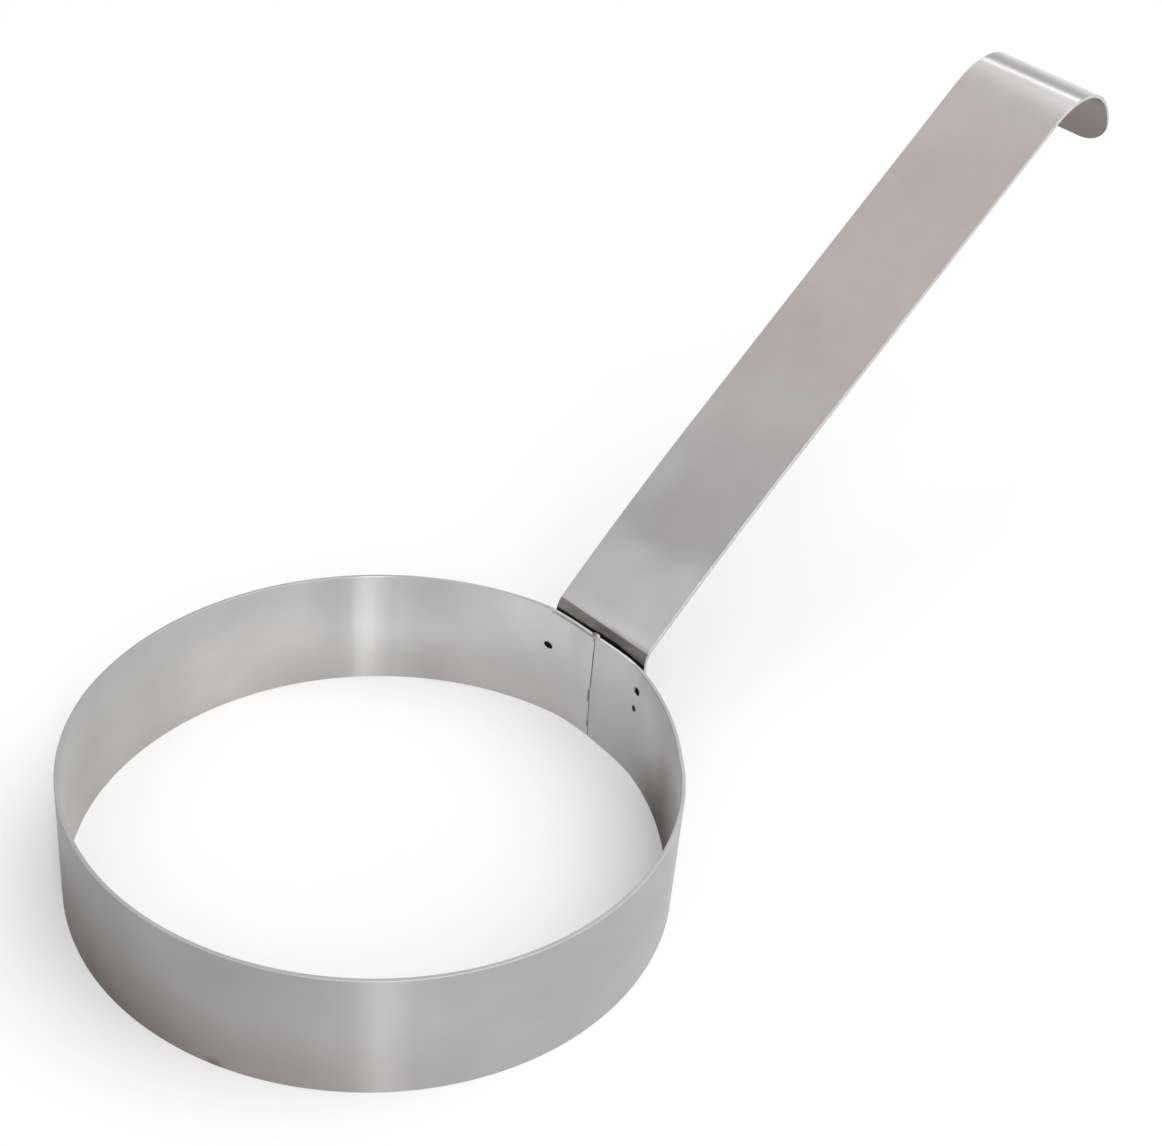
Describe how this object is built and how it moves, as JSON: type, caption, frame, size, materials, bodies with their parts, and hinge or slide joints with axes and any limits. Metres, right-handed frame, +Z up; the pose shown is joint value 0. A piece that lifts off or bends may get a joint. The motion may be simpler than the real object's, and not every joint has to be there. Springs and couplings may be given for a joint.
{
  "type": "egg ring",
  "caption": "Round stainless steel egg ring with a long upswept strip handle that ends in a hanging hook, for shaping eggs and batter on a griddle.",
  "frame": {"origin": "middle of the whole object's footprint box, on the ground that the band's lower rim rests on", "axes": "+Z up along the ring's axis, +X from the ring towards the hook at the handle's end, +Y to the left along the seam flat"},
  "size_m": [0.2619, 0.113, 0.1166],
  "materials": {
    "band_steel": "fine grain rolled round the band, satin",
    "handle_steel": "mill satin, faint grain along the strip",
    "tack_bead": "melted and lightly dressed",
    "weld_scale": "dark heat scale, dull"
  },
  "bodies": {
    "root": {"ring_band": "band_steel", "handle_strip": "handle_steel", "seam_tack": "tack_bead", "spot_weld_left": "weld_scale", "spot_weld_right_upper": "weld_scale", "spot_weld_right_lower": "weld_scale"}
  },
  "joints": []
}
